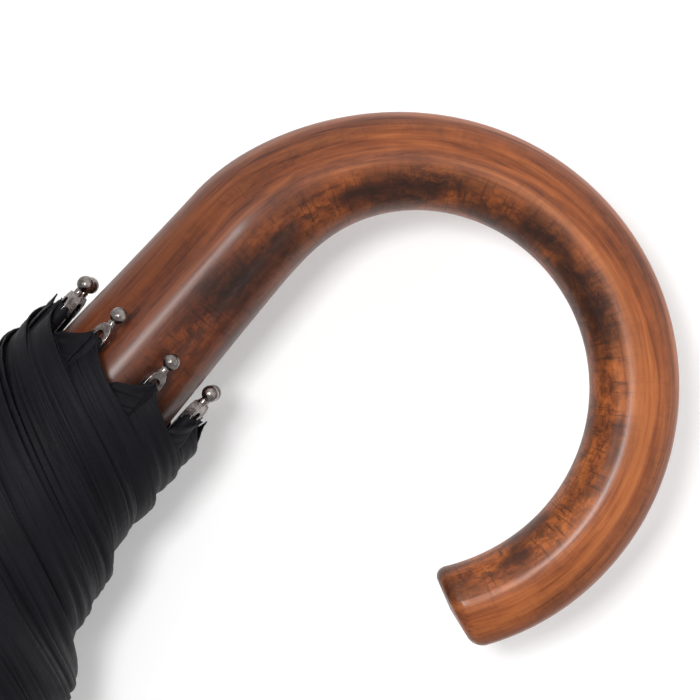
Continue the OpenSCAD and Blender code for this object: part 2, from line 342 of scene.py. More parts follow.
def cloth(name, base, light):
    """Tight plain-weave pongee. WEAVE holds the place on the flat cloth, in metres: along the hem,
    down from the crown, and in from the hem's edge, where a stitched line and creases run."""
    n = Nodes(name).set(Sheen_Weight=0.02, Sheen_Roughness=0.4, Specular_IOR_Level=0.13)
    weave = n.attribute("WEAVE")
    yarn = 2 * math.pi / YARN_PITCH
    axes = n.split(n.scaled(weave, (yarn, yarn, 1)))
    lattice = n.math("MULTIPLY", n.math("SINE", axes["X"]), n.math("SINE", axes["Y"]))
    slub = n.noise(n.scaled(weave, (1500, 0, 420)), detail=3, rough=0.65)
    cloud = n.noise(n.scaled(weave, (45, 0, 70)), detail=4, rough=0.6)
    creases = n.noise(n.scaled(weave, (14, 0, 360)), detail=3, rough=0.55, warp=0.3)
    stitch = n.math("ABSOLUTE", n.math("SUBTRACT", axes["Z"], HEM_STITCH))
    seam = n.ramp(n.math("MULTIPLY", stitch, 1 / (3 * MM)), [(0.0, 0.0), (0.16, 1.0)])
    tone = n.math("ADD", n.math("MULTIPLY", slub, 0.55), n.math("MULTIPLY", cloud, 0.45))
    colour = n.ramp(tone, [(0.36, base), (0.64, light)])
    roughness = n.ramp(slub, [(0.3, 0.50), (0.7, 0.70)])
    folds = n.bump(creases, 0.75, 0.9 * MM)
    hem = n.bump(seam, 0.6, 0.25 * MM, folds)
    fine = n.math("ADD", n.math("MULTIPLY", lattice, 0.35), slub)
    return n.finish(colour, roughness, n.bump(fine, 0.30, 0.10 * MM, hem))


def paper_floor():
    """Pale paper that can't be seen from below."""
    n = Nodes("floor_paper").set(Specular_IOR_Level=0.1, Roughness=0.9,
                                 Emission_Color=(1, 1, 1, 1), Emission_Strength=0.5)
    n.finish(n.ramp(n.noise(n.place(), 30, 3), [(0.3, 0.90), (0.7, 0.93)]))
    return n.see_through(n.add("ShaderNodeNewGeometry").outputs["Backfacing"])


GRIP_SHADE = 105 * MM
YARN_PITCH = 0.5 * MM
HEM_STITCH = 5 * MM
WOOD = wood()
GUNMETAL = metal("gunmetal", (0.30, 0.265, 0.25), (0.11, 0.095, 0.09), (0.16, 0.32))
STEEL = metal("rib_steel", (0.62, 0.61, 0.59), (0.42, 0.41, 0.40), (0.22, 0.4))
SPRING = metal("catch_steel", (0.66, 0.64, 0.6), (0.5, 0.48, 0.45), (0.2, 0.35))
ENAMEL = plastic("black_steel", (0.012, 0.012, 0.013), (0.22, 0.34))
MOULDED = plastic("black_plastic", (0.012, 0.012, 0.012), (0.38, 0.5))
FERRULE = plastic("ferrule_plastic", (0.01, 0.01, 0.01), (0.2, 0.32))
PONGEE = cloth("canopy_cloth", (0.0020, 0.0020, 0.0032), (0.0060, 0.0056, 0.0088))
STRAP = cloth("strap_cloth", (0.003, 0.003, 0.0036), (0.008, 0.008, 0.010))


# ---- mesh helpers ------------------------------------------------------------------------------

def piece(name, points, faces, material, smooth_shade=True):
    """A new mesh object with its material."""
    mesh = bpy.data.meshes.new(name)
    mesh.from_pydata([tuple(p) for p in points], [], faces)
    mesh.validate()
    mesh.shade_smooth() if smooth_shade else mesh.shade_flat()
    o = bpy.data.objects.new(name, mesh)
    bpy.context.collection.objects.link(o)
    mesh.materials.append(material)
    return o


def grid_faces(rows, columns, wrap=False):
    """Faces of a grid whose points are listed row by row, joined into a tube where wrap is True."""
    last = columns if wrap else columns - 1
    return [
        (r * columns + c, r * columns + (c + 1) % columns,
         (r + 1) * columns + (c + 1) % columns, (r + 1) * columns + c)
        for r in range(rows - 1) for c in range(last)
    ]


def vector_attribute(o, name, values):
    """A vector on every point, which the material reads by name."""
    data = o.data.attributes.new(name, "FLOAT_VECTOR", "POINT").data
    data.foreach_set("vector", np.asarray(values, np.float32).ravel())


def thicken(o, thickness):
    """Gives a skin its thickness, half to each side."""
    m = o.modifiers.new("thickness", "SOLIDIFY")
    m.thickness = thickness
    m.offset = 0


# ---- crook handle ------------------------------------------------------------------------------

GRIP_TOP_D = 31.5 * MM
NECK_D = 28 * MM
CROOK_D = 19.6 * MM
CROOK_TURN = math.radians(214)
TAPER_TURN = math.radians(30)
NOSE_SLANT = math.radians(13)
SLANT_FROM = 0.9  # share of the bend where the rings begin to slant towards the cut nose
NOSE_ROUND = 3 * MM
NOSE_BULGE = 0.5 * MM
RIM_ROUND = 1.5 * MM


def crook_radius(turn):
    """The tube's radius: it tapers from the neck soon after the bend begins."""
    return (CROOK_D + (NECK_D - CROOK_D) / (1 + (turn / TAPER_TURN) ** 2)) / 2


def grip_radius(z):
    """The straight grip's radius, widest at its rim."""
    return (NECK_D + (GRIP_TOP_D - NECK_D) * (max(z, 0) / GRIP_TOP) ** 1.2) / 2


def handle_stations():
    """Centre, turn, slant and radius of each ring from the grip's rim to the nose."""
    out = [(Vector((0, 0, GRIP_TOP)), 0, 0, grip_radius(GRIP_TOP) - RIM_ROUND)]
    for a in steps(0, math.pi / 2, 6):
        z = GRIP_TOP - RIM_ROUND * (1 - math.cos(a))
        out.append((Vector((0, 0, z)), 0, 0, grip_radius(z) - RIM_ROUND * (1 - math.sin(a))))
    for z in steps(GRIP_TOP - 2 * RIM_ROUND, 0.001, 20):
        out.append((Vector((0, 0, z)), 0, 0, grip_radius(z)))
    for turn in steps(0, CROOK_TURN, 120):
        slant = NOSE_SLANT * max(0, (turn / CROOK_TURN - SLANT_FROM) / (1 - SLANT_FROM))
        centre = Vector((CROOK_R * (1 - math.cos(turn)), 0, -CROOK_R * math.sin(turn)))
        out.append((centre, turn, slant, crook_radius(turn)))
    end, ahead = out[-1][0], Vector((math.sin(CROOK_TURN), 0, -math.cos(CROOK_TURN)))
    r = crook_radius(CROOK_TURN)
    for a in steps(0.15, math.pi / 2, 9):
        centre = end + ahead * NOSE_ROUND * math.sin(a)
        out.append((centre, CROOK_TURN, NOSE_SLANT, r - NOSE_ROUND * (1 - math.cos(a))))
    face = end + ahead * NOSE_ROUND
    for share in (0.85, 0.6, 0.3, 0.02):
        bulge = ahead * NOSE_BULGE * (1 - share)
        out.append((face + bulge, CROOK_TURN, NOSE_SLANT, (r - NOSE_ROUND) * share))
    return out


def make_handle():
    """The grip and crook in one skin, with its place in the unbent stick for the grain."""
    around = 96
    points, grain, run, before = [], [], 0.0, None
    stations = handle_stations()
    for centre, turn, slant, r in stations:
        out = Vector((-math.cos(turn), 0, -math.sin(turn)))
        ahead = Vector((math.sin(turn), 0, -math.cos(turn)))
        run += (centre - before).length if before is not None else 0.0
        before = centre
        for k in range(around):
            a = 2 * math.pi * k / around
            x, y = r * math.cos(a), r * math.sin(a)
            points.append(centre + (out * math.cos(slant) - ahead * math.sin(slant)) * x
                          + Vector((0, y, 0)))
            grain.append((x, y, run))
    faces = grid_faces(len(stations), around, wrap=True)
    faces.append(tuple(range(around - 1, -1, -1)))
    faces.append(tuple(len(points) - around + k for k in range(around)))
    o = piece("crook", points, faces, WOOD)
    vector_attribute(o, "GRAIN", grain)
    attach(o, "root")
    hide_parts("crook_handle")


# ---- rib tips ----------------------------------------------------------------------------------

NECK_R = 0.95 * MM
CLAW_START = 3.4 * MM
CLAW_END = 8.2 * MM
CLAW_W = 3.9 * MM
CLAW_H = 2.5 * MM
CLAW_SLOT = 2.0 * MM
TIP_EDGE = 0.18 * MM


def lathe(bm, profile, sides=28):
    """Turns a list of (radius, height) about +Z."""
    rings = [
        [bm.verts.new(polar(r, 2 * math.pi * k / sides, z)) for k in range(sides)]
        for r, z in profile
    ]
    for low, high in zip(rings, rings[1:]):
        for k in range(sides):
            bm.faces.new((low[k], low[(k + 1) % sides], high[(k + 1) % sides], high[k]))
    bm.faces.new(rings[0][::-1])
    bm.faces.new(rings[-1])


def prism(bm, outline, depth):
    """Extrudes an outline of (y, z) to both sides along X."""
    sides = [[bm.verts.new((x, y, z)) for y, z in outline] for x in (-depth / 2, depth / 2)]
    for k in range(len(outline)):
        j = (k + 1) % len(outline)
        bm.faces.new((sides[0][k], sides[0][j], sides[1][j], sides[1][k]))
    bm.faces.new(sides[0][::-1])
    bm.faces.new(sides[1])


def claw_outline():
    """A fork seen from outside: a tapered shoulder and two prongs round a U."""
    half, slot = CLAW_W / 2, CLAW_SLOT / 2
    root = CLAW_START + 1.3 * MM
    outline = [(-NECK_R, CLAW_START - 0.5 * MM), (NECK_R, CLAW_START - 0.5 * MM),
               (half * 0.86, CLAW_START + 0.7 * MM), (half, CLAW_START + 2.2 * MM),
               (half, CLAW_END), (slot * 1.02, CLAW_END)]
    for a in steps(0, math.pi, 9):
        outline.append((slot * math.cos(a), root + slot - slot * math.sin(a)))
    outline += [(-slot * 1.02, CLAW_END), (-half, CLAW_END), (-half, CLAW_START + 2.2 * MM),
                (-half * 0.86, CLAW_START + 0.7 * MM)]
    return outline


def tip_mesh():
    """A ball with a neck and a fork, with the ball's centre at the origin."""
    bm = bmesh.new()
    ball = [(max(BALL_R * math.sin(a), 0.02 * MM), -BALL_R * math.cos(a))
            for a in steps(0.0, math.pi * 0.86, 16)]
    neck = [(NECK_R, 1.95 * MM), (NECK_R * 0.95, 2.7 * MM), (NECK_R * 1.25, 3.0 * MM),
            (NECK_R * 1.3, CLAW_START), (NECK_R * 1.1, CLAW_START + 0.5 * MM)]
    lathe(bm, ball + neck)
    prism(bm, claw_outline(), CLAW_H)
    bmesh.ops.recalc_face_normals(bm, faces=bm.faces)
    mesh = bpy.data.meshes.new("tip")
    bm.to_mesh(mesh)
    bm.free()
    return mesh


def rib_frame(i, r, z, angle):
    """+Z up the rib towards the crown, +X away from the shaft, at a point in rib i's plane."""
    a = azimuth(i)
    radial = radial_axis(i)
    up = -(radial * math.sin(angle) - Vector((0, 0, math.cos(angle))))
    x = radial * math.cos(angle) + Vector((0, 0, math.sin(angle)))
    y = up.cross(x)
    m = Matrix((x, y, up)).transposed().to_4x4()
    m.translation = polar(r, a, z)
    return m


def make_tips():
    """One gunmetal tip on each rib's end."""
    mesh = tip_mesh()
    for i in RIBS:
        o = bpy.data.objects.new(f"ball_tip_{i}", mesh.copy())
        bpy.context.collection.objects.link(o)
        o.data.transform(rib_frame(i, TIP_R, TIP_Z, OUTER_ANGLE))
        o.data.materials.append(GUNMETAL)
        o.data.shade_smooth()
        bevel = o.modifiers.new("edges", "BEVEL")
        bevel.width = TIP_EDGE
        bevel.segments = 2
        bevel.limit_method = "ANGLE"
        o.modifiers.new("normals", "WEIGHTED_NORMAL")
        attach(o, f"rib_outer_{i}")
        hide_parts(f"rib_tip_{i}")


# ---- ribs --------------------------------------------------------------------------------------

RIB_W = 3.2 * MM
RIB_WALL = 0.6 * MM
RIB_CORNER = 0.35 * MM
WEB_LIFT = 2.1 * MM
LIP_LIFT = -1.3 * MM
RIB_START = 12 * MM
TONGUE_T = 1.6 * MM
TONGUE_LAP = 2 * MM
TIP_GAP = 0.4 * MM
EYELET_R = 1.3 * MM


def rib_section():
    """The channel's outline as (sideways, lift), with soft outer corners."""
    half, inner, cut = RIB_W / 2, RIB_W / 2 - RIB_WALL, RIB_CORNER
    return [(-half, LIP_LIFT), (-half, WEB_LIFT - cut), (-half + cut, WEB_LIFT),
            (half - cut, WEB_LIFT), (half, WEB_LIFT - cut), (half, LIP_LIFT),
            (inner, LIP_LIFT), (inner, WEB_LIFT - RIB_WALL), (-inner, WEB_LIFT - RIB_WALL),
            (-inner, LIP_LIFT)]


def rib_tongue(i, points, faces):
    """The flat bar between the channel and the crown's wire, with a round end about the wire."""
    end = RIB_START + TONGUE_LAP
    outline = [(end, -EYELET_R), (end, EYELET_R)]
    outline += [(-EYELET_R * math.sin(a), EYELET_R * math.cos(a)) for a in steps(0, math.pi, 11)]
    first = len(points)
    for sideways in (-TONGUE_T / 2, TONGUE_T / 2):
        points += [closed_rib_point(i, s, lift, sideways) for s, lift in outline]
    n = len(outline)
    faces.append(tuple(first + k for k in range(n)))
    faces.append(tuple(first + n + k for k in range(n - 1, -1, -1)))
    for k in range(n):
        j = (k + 1) % n
        faces.append((first + j, first + k, first + n + k, first + n + j))


def make_rib(i):
    """One springy channel from the crown to the tip, with a flat eyelet at the crown."""
    section = rib_section()
    end = FLEX_AT + OUTER_LEN - CLAW_END - TIP_GAP
    stations = steps(RIB_START, FLEX_AT - BEND_REACH, 8)
    stations += steps(FLEX_AT - BEND_REACH, FLEX_AT + BEND_REACH, 31)[1:]
    stations += steps(FLEX_AT + BEND_REACH, end, 10)[1:]
    points = [closed_rib_point(i, s, lift, sideways)
              for s in stations for sideways, lift in section]
    n = len(section)
    faces = grid_faces(len(stations), n, wrap=True)
    faces.append(tuple(range(n - 1, -1, -1)))
    faces.append(tuple(len(points) - n + k for k in range(n)))
    rib_tongue(i, points, faces)
    o = piece(f"rib_{i}", points, faces, STEEL, smooth_shade=False)
    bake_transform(o)
    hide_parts(f"rib_inner_{i}", f"rib_outer_{i}")


# ---- open canopy -------------------------------------------------------------------------------

COVER_LIFT = 2.5 * MM
STRIP = 12 * MM
COVER_SAG = 9 * MM
HEM_SCALLOP = 10 * MM
CORNER_TUCK = 6 * MM
CORNER_DIP = 1.1 * MM
CORNER_REACH = 2.6 * MM
CLOTH_THICK = 0.3 * MM
COVER_START = 6 * MM
BORDER_ROW = 0.4 * MM
RIDGE_LIFT = 0.7 * MM
RIDGE_REACH = 20 * MM
CLAW_LAP = 2.5 * MM
OPEN_SPREAD = 0.735  # width of the open gore per metre along its ribs
RIB_LEN = FLEX_AT + OUTER_LEN - CLAW_END + CLAW_LAP


def corner_pull(distance):
    """How far the cloth dips to the tip's claw near a sewn corner."""
    return CORNER_DIP * np.exp(-distance / CORNER_REACH)


def inverse_turn(i, point, swing, pivot_r, pivot_z):
    """Takes a point back by a swing in rib i's plane, about a pivot at a radius and height."""
    r_axis, t_axis = np.array(radial_axis(i)), np.array(side_axis(i))
    r, t, z = point @ r_axis - pivot_r, point @ t_axis, point[2] - pivot_z
    c, s = math.cos(swing), math.sin(swing)
    r, z = c * r + s * z, -s * r + c * z
    return (r + pivot_r) * r_axis + t * t_axis + np.array([0, 0, z + pivot_z])


def gore_point(i, u, s):
    """A point of the taut open gore: u from rib i (0) to the next rib (1), s along the ribs."""
    arch = 4 * u * (1 - u)
    share = s / RIB_LEN
    s = s - (HEM_SCALLOP * arch + CORNER_TUCK * u ** 3) * share ** 6
    lift = COVER_LIFT + RIDGE_LIFT * (1 - math.exp(-(RIB_LEN - s) / RIDGE_REACH))
    lift -= float(corner_pull(math.hypot(RIB_LEN - s, 0.4 * u)))
    r, z = rib_place(s, lift, True)
    a, b = azimuth(i), azimuth(i + 1)
    chord = np.array(polar(r, a, z)) * (1 - u) + np.array(polar(r, b, z)) * u
    mid = (a + b) / 2
    inward = np.array([-math.cos(mid) * 0.5, -math.sin(mid) * 0.5, -0.85])
    slack = math.sin(math.pi * min(1, share * 0.9 + 0.1)) ** 0.5
    return chord + inward * COVER_SAG * arch ** 1.6 * slack


def solve_weight(lateral, travel):
    """t in STRIP * t + travel * smooth(t) = lateral."""
    low, high = 0.0, 1.0
    for _ in range(40):
        t = (low + high) / 2
        if STRIP * t + travel * float(smooth(t)) < lateral:
            low = t
        else:
            high = t
    return low


def make_cover(i, part):
    """Half a gore, above or below the ribs' bend. At rest it is a narrow strip beside its rib: the
    open gore turned back with its rib and shifted back along its spreading joint's travel."""
    upper = part == "upper"
    joint = JOINTS[f"canopy_{part}_spread_{i}"]
    axis = np.array(joint["axis"], float)
    axis /= np.linalg.norm(axis)
    travel = coupled_travel(joint["name"])
    t_axis = np.array(side_axis(i))
    if upper:
        s_values = steps(COVER_START, FLEX_AT - BORDER_ROW, 36) + [FLEX_AT]
    else:
        s_values = [FLEX_AT] + steps(FLEX_AT + BORDER_ROW, RIB_LEN, 44)
    columns = 25
    points, weave = [], []
    for s in s_values:
        for k in range(columns):
            u = k / (columns - 1)
            p = gore_point(i, u, s)
            p = inverse_turn(i, p, RIB_SWING, PIVOT_R, CROWN_Z)
            if not upper:
                p = inverse_turn(i, p, -RIB_FLEX, FLEX_R, FLEX_Z)
            lateral = p @ t_axis
            w = float(smooth(solve_weight(lateral, travel * (axis @ t_axis))))
            points.append(p - w * travel * axis)
            weave.append(((u - 0.5) * OPEN_SPREAD * s, s, RIB_LEN - s))
    faces = grid_faces(len(s_values), columns)
    o = piece(f"cover_{part}_{i}", points, faces, PONGEE)
    vector_attribute(o, "WEAVE", weave)
    thicken(o, CLOTH_THICK)
    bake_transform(o)
    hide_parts(f"canopy_{part}_{i}")


# ---- furled canopy -----------------------------------------------------------------------------

GORE_LEAN = math.tan(math.radians(21.5))  # half width of the flat gore per metre of height
APEX_Z = CROWN_Z + 6 * MM
HEM_Z = TIP_Z + 8.2 * MM
TOP_DROP = 20 * MM  # from the apex to the top edge of the furled gores
LAYER_GAP = 0.75 * MM
PUFF = 1.3 * MM  # how far the first layer stands off the ribs
FURL_MAX_R = 36 * MM
FURL_TOP_R = 14 * MM
BULGE_Z = TIP_Z + 80 * MM
LOBE_TOP_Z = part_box("canopy_upper_1")[1][2]
WAIST_Z, WAIST_REACH, WAIST_DEPTH = 66 * MM, 17 * MM, 2.6 * MM
FLARE_Z, FLARE_RISE, FLARE_DEPTH = 90 * MM, 11 * MM, 6.5 * MM
FLARE_END_Z, FLARE_FALL = 112 * MM, 28 * MM
HEM_WAVE, HEM_WAVE_REACH = 0.55 * MM, 12 * MM
SLOW_WAVE = 0.35 * MM
CREASES = 9
CREASE_PITCH = 2.6 * MM
FOLD_DIP, FOLD_REACH = 1.1 * MM, 1.6 * MM


def core_radius(z):
    """Radius just outside the closed ribs."""
    z = np.asarray(z, float)
    inner = PIVOT_R + (CROWN_Z - z) * math.tan(INNER_ANGLE)
    outer = FLEX_R + (FLEX_Z - z) * math.tan(OUTER_ANGLE)
    return np.where(z > FLEX_Z, inner, outer) + COVER_LIFT


def furl_radius(z):
    """Outer radius of the furled canopy above its bulge."""
    z = np.maximum(np.asarray(z, float), BULGE_Z)
    return FURL_MAX_R + (FURL_TOP_R - FURL_MAX_R) * (z - BULGE_Z) / (LOBE_TOP_Z - BULGE_Z)


def layer_growth(z):
    """How much the spiral's radius grows per radian at a height."""
    z = np.maximum(np.asarray(z, float), BULGE_Z)
    base = core_radius(z) + PUFF
    width = (APEX_Z - z) * GORE_LEAN
    return (furl_radius(z) ** 2 - base ** 2) / (2 * width)


def spiral(a, z):
    """Turn and radius of a point at the arc length a along the spiral, at a height."""
    k, base = layer_growth(z), core_radius(z) + PUFF
    turn = (np.sqrt(base ** 2 + 2 * k * a) - base) / k
    return turn, base + k * turn - PUFF * np.exp(-turn / 0.25)


def swell(z):
    """The rolled end: drawn in below its bulge, and flaring out just before the strap."""
    z = np.asarray(z, float)
    draw = np.exp(-((z - WAIST_Z) / WAIST_REACH) ** 2)
    flare = smooth((z - FLARE_Z) / FLARE_RISE) * (1 - smooth((z - FLARE_END_Z) / FLARE_FALL))
    return -WAIST_DEPTH * draw + FLARE_DEPTH * flare


def wrinkles(a, below, seed):
    """Height of the pressed creases that run along the hem, and of slow puffs between them, at a
    length along the spiral and a distance in from the hem."""
    rng = np.random.default_rng(100 + int(seed * 10))
    d = HEM_WAVE * np.sin(a / (19 * MM) + seed * 2.3) * np.exp(-below / HEM_WAVE_REACH)
    d = d + SLOW_WAVE * np.sin(a / (41 * MM) + below / (9 * MM) + seed)
    for k in range(CREASES):
        at = 1.6 * MM + CREASE_PITCH * k + rng.uniform(-0.7, 0.7) * MM
        lean = rng.uniform(-0.035, 0.035)
        centre = at + lean * a + 0.5 * MM * np.sin(a / (27 * MM) + rng.uniform(0, 6))
        deep = rng.uniform(0.25, 0.85) * MM
        wide = rng.uniform(0.5, 1.0) * MM
        deep = deep * (0.6 + 0.4 * np.sin(a / (33 * MM) + rng.uniform(0, 6)))
        d = d - deep * np.exp(-((below - centre) / wide) ** 2)
        d = d + 0.4 * deep * np.exp(-((below - centre - 1.7 * wide) / wide) ** 2)
    return d


def furl_rows():
    """Shares of the way from the hem to the top, close together near the hem."""
    return np.concatenate([np.linspace(0, 0.0386, 45), np.linspace(0.0386, 0.158, 35)[1:],
                           np.linspace(0.158, 1, 46)[1:]])


def both_ends_fine(count):
    """Steps from 0 to 1, close together at both ends."""
    return 0.5 - 0.5 * np.cos(np.linspace(0, math.pi, count))


def make_furl(i):
    """One gore, folded on its middle line and wrapped round the bundle. It starts at rib i + 1,
    runs over rib i and on to its fold, comes back below itself, and turns again to end at rib i."""
    first = azimuth(i + 1)
    rows = furl_rows()
    full = APEX_Z - HEM_Z
    columns = []
    layers = [(True, u) for u in both_ends_fine(88)]
    layers += [(False, u) for u in both_ends_fine(46)[::-1][1:]]
    for outer, u in layers:
        d_hem = full / (1 + GORE_LEAN ** 2 * u)
        corner = CORNER_REACH * math.exp(-u * full * GORE_LEAN / CORNER_REACH)
        d = d_hem + corner * (1 - rows) ** 8 + (TOP_DROP - d_hem) * rows
        z = APEX_Z - d
        width = d * GORE_LEAN
        cloth_at = u * width
        sector = (core_radius(z) + PUFF) * SECTOR
        below = d_hem - d
        if outer:
            at, drop = cloth_at, 0.0
        else:
            at = np.where(cloth_at > sector / 2, cloth_at, sector - cloth_at)
            turned = smooth((sector * 0.62 - cloth_at) / (sector * 0.3))
            drop = LAYER_GAP + turned * 0.6 * MM
            peek = (0.9 + 0.7 * math.sin(u * 9 + i)) * MM * smooth(u * 5)
            z = z - peek * (1 - rows) ** 8
        turn, r = spiral(at, z)
        bump = wrinkles(at, below, i + (0.5 if not outer else 0.0))
        fold = FOLD_DIP * np.exp(-(width - cloth_at) / FOLD_REACH) * outer
        r = r - drop + bump * smooth(cloth_at / (9 * MM)) - fold
        r = r + swell(z) * smooth(at / (25 * MM))
        r = r - corner_pull(np.hypot(cloth_at, below))
        phi = first - turn
        flat_x = cloth_at - width if outer else width - cloth_at
        columns.append((np.stack([r * np.cos(phi), r * np.sin(phi), z], 1),
                        np.stack([flat_x, d, below], 1)))
    points = np.stack([c[0] for c in columns], 1).reshape(-1, 3)
    weave = np.stack([c[1] for c in columns], 1).reshape(-1, 3)
    o = piece(f"gore_{i}", points, grid_faces(len(rows), len(columns)), PONGEE)
    vector_attribute(o, "WEAVE", weave)
    thicken(o, CLOTH_THICK)
    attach(o, "root")
    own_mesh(o)


# ---- tip pockets -------------------------------------------------------------------------------

POCKET_START = 6.4 * MM
POCKET_LEN = 11 * MM
POCKET_HALF_W = 2.15 * MM
POCKET_HALF_H = 2.1 * MM
POCKET_LIFT = 0.4 * MM


def make_pocket(i):
    """The small sewn sleeve in which the canopy's corner holds a rib's end."""
    points, weave, around = [], [], 28
    shares = steps(0, 1, 17)
    for share in shares:
        along_rib = POCKET_START + POCKET_LEN * share
        for k in range(around):
            turn = 2 * math.pi * k / around
            pucker = 1 + 0.06 * math.sin(5 * turn + i) * math.exp(-share * 3)
            mouth = 1 - 0.16 * math.exp(-share * 9)
            lift = POCKET_LIFT + POCKET_HALF_H * pucker * mouth * math.sin(turn)
            sideways = POCKET_HALF_W * pucker * mouth * math.cos(turn)
            points.append(closed_rib_point(i, FLEX_AT + OUTER_LEN - along_rib, lift, sideways))
            weave.append((turn * POCKET_HALF_W, along_rib, along_rib - POCKET_START))
    faces = grid_faces(len(shares), around, wrap=True)
    o = piece(f"tip_pocket_{i}", points, faces, PONGEE)
    vector_attribute(o, "WEAVE", weave)
    thicken(o, CLOTH_THICK)
    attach(o, f"rib_outer_{i}")


# ---- apex collar -------------------------------------------------------------------------------

COLLAR_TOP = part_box("canopy_cap")[0][2]
COLLAR_R = 13 * MM
COLLAR_LEN = 27 * MM
COLLAR_FLARE = 2.2 * MM
COLLAR_WAIST = 1.1 * MM
COLLAR_PLEATS = 16
COLLAR_PLEAT = 0.45 * MM


def make_collar():
    """The gathered cloth between the cap and the furled gores."""
    points, weave, around = [], [], 160
    under_cap = steps(0.6 * COLLAR_R, 0.94 * COLLAR_R, 5)
    down = steps(COLLAR_R, COLLAR_R + COLLAR_LEN, 28)
    for d in under_cap + down:
        below = max(0.0, d - COLLAR_R)
        share = below / COLLAR_LEN
        waist = COLLAR_WAIST * math.sin(math.pi * min(1.0, share * 1.7))
        for k in range(around):
            turn = 2 * math.pi * k / around
            pleat = COLLAR_PLEAT * share * math.sin(COLLAR_PLEATS * turn + 0.7 * math.sin(3 * turn))
            r = min(d, COLLAR_R) - waist + COLLAR_FLARE * share ** 2 + pleat
            points.append(polar(r, turn, COLLAR_TOP - CLOTH_THICK - below * 0.97))
            weave.append((turn * COLLAR_R, d, COLLAR_LEN))
    faces = grid_faces(len(under_cap + down), around, wrap=True)
    o = piece("apex_collar", points, faces, PONGEE)
    vector_attribute(o, "WEAVE", weave)
    thicken(o, CLOTH_THICK)
    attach(o, "root")
    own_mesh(o)


# ---- strap and snap ----------------------------------------------------------------------------

STRAP_T = 0.9 * MM
STRAP_LAP = math.radians(34)
STITCH_DEPTH = 0.12 * MM
LAP_GAP = 0.25 * MM


def strap_mesh():
    """A band round the furled canopy whose free end laps over itself and ends in a rounded tab."""
    low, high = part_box("tie_strap")
    middle, half = (low[2] + high[2]) / 2, (high[2] - low[2]) / 2
    inner_r = min(-low[0], high[0]) - STRAP_T
    snap = azimuth(3)
    turns = np.linspace(-2 * math.pi + STRAP_LAP, STRAP_LAP, 181)
    half_across = [0, 0.5, 0.8, 0.86, 0.94, 1.0]
    across = [-share for share in half_across[:0:-1]] + half_across
    points, weave = [], []
    for turn in turns:
        lap = float(smooth((turn + 2 * STRAP_LAP) / STRAP_LAP))
        to_end = max(0.0, (STRAP_LAP - turn) * inner_r)
        round_end = math.sqrt(max(0.0, 1 - max(0.0, 1 - to_end / half) ** 2))
        for share in across:
            stitch = STITCH_DEPTH * math.exp(-((abs(share) - 0.83) / 0.03) ** 2)
            r = inner_r + STRAP_T / 2 + lap * (STRAP_T + LAP_GAP) - stitch
            z = middle + half * share * round_end
            points.append(polar(r, snap + turn, z))
            weave.append((turn * inner_r, 0.0, half - abs(half * share)))
    return points, weave, grid_faces(len(turns), len(across))


def make_strap():
    """The tie strap and its snap ride on rib 3."""
    points, weave, faces = strap_mesh()
    strap = piece("strap_band", points, faces, STRAP)
    vector_attribute(strap, "WEAVE", weave)
    thicken(strap, STRAP_T)
    low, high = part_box("tie_snap")
    radial = radial_axis(3)
    snap_z, snap_r = (low[2] + high[2]) / 2, (high[2] - low[2]) / 2
    at = max(p.xy.length for p in points) + STRAP_T / 2
    bm = bmesh.new()
    lathe(bm, [(snap_r, -0.4 * MM), (snap_r, 0.35 * MM), (snap_r * 0.93, 0.75 * MM),
               (snap_r * 0.8, 0.85 * MM), (snap_r * 0.7, 0.6 * MM), (snap_r * 0.55, 0.75 * MM),
               (snap_r * 0.2, 0.95 * MM), (0.02 * MM, 0.97 * MM)], sides=40)
    bmesh.ops.recalc_face_normals(bm, faces=bm.faces)
    mesh = bpy.data.meshes.new("snap")
    turn = Vector((0, 0, 1)).rotation_difference(radial).to_matrix().to_4x4()
    bm.transform(Matrix.Translation(radial * at + Vector((0, 0, snap_z))) @ turn)
    bm.to_mesh(mesh)
    bm.free()
    mesh.shade_smooth()
    snap = bpy.data.objects.new("strap_snap", mesh)
    bpy.context.collection.objects.link(snap)
    mesh.materials.append(GUNMETAL)
    for o, node in ((strap, "tie_strap"), (snap, "tie_snap")):
        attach(o, "rib_outer_3")
        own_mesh(o)
        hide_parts(node)
    low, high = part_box("tie_strap")


# ---- carried-over CAD nodes --------------------------------------------------------------------

def paint(material, *names):
    """Gives carried-over CAD nodes a material."""
    for name in names:
        o = frame["nodes"][name] if name in frame["nodes"] else bpy.data.objects[name]
        o.data.materials.clear()
        o.data.materials.append(material)


def paint_nodes():
    """The CAD nodes that stay in sight."""
    paint(ENAMEL, "shaft")
    paint(MOULDED, "top_notch", "runner")
    paint(FERRULE, "ferrule")
    paint(GUNMETAL, "canopy_cap")
    paint(SPRING, "closing_catch", "opening_catch")
    paint(STEEL, "notch_wire", "runner_wire")
    for i in RIBS:
        paint(STEEL, f"stretcher_{i}")


# ---- stage -------------------------------------------------------------------------------------

VIEW_CENTRE = Vector((35.0 * MM, 0, 2.4 * MM))
VIEW_RIGHT = Vector((0.7507, 0, -0.6606))
VIEW_UP = Vector((-0.6606, 0, -0.7507))
VIEW_WIDTH = 155.6 * MM
VIEW_DISTANCE = 0.8
SENSOR = 36.0
FLOOR_DROP = 70 * MM
FLOOR_HALF = 3.0
CARD_GAP = 3.5 * MM
CARD_HALF = VIEW_WIDTH * 0.66  # beyond the frame, whose half width is half of VIEW_WIDTH
SKY_LIGHT = 0.52
LIGHT_SPREAD = math.radians(60)


